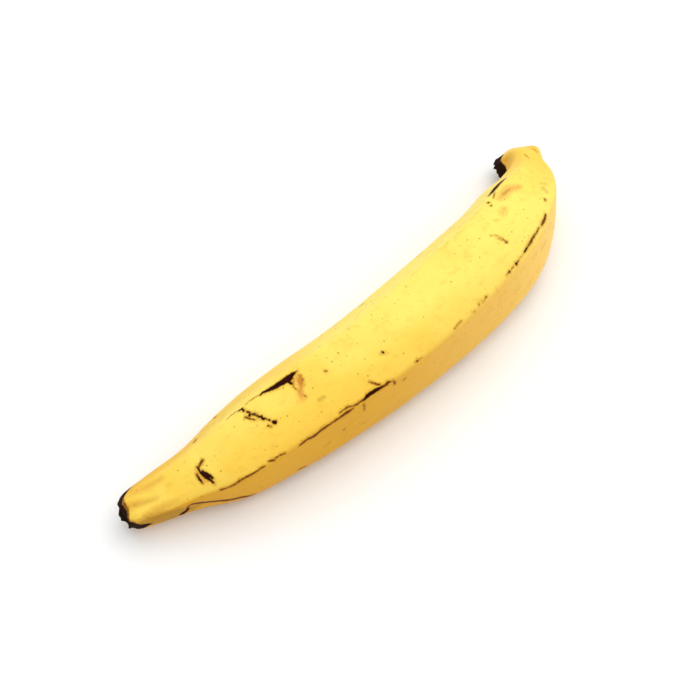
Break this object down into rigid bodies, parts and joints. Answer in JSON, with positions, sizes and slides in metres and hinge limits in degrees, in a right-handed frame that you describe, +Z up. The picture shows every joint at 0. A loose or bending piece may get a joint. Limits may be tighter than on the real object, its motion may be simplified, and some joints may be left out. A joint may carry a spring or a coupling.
{
  "type": "plantain",
  "caption": "Ripe yellow plantain: a long, gently curved fruit with rounded ridges, a short bent neck and a blunt tip, lying on its side.",
  "frame": {"origin": "under the middle of the fruit's box, on the surface it lies on", "axes": "+X from the blossom end to the stem, +Y towards the hollow side of the curve, +Z up"},
  "size_m": [0.2736, 0.066, 0.0462],
  "materials": {
    "peel": "smooth waxy peel, satin, ripe yellow with dark scars, and dark dried ends"
  },
  "bodies": {
    "root": {"plantain": "peel"}
  },
  "joints": []
}
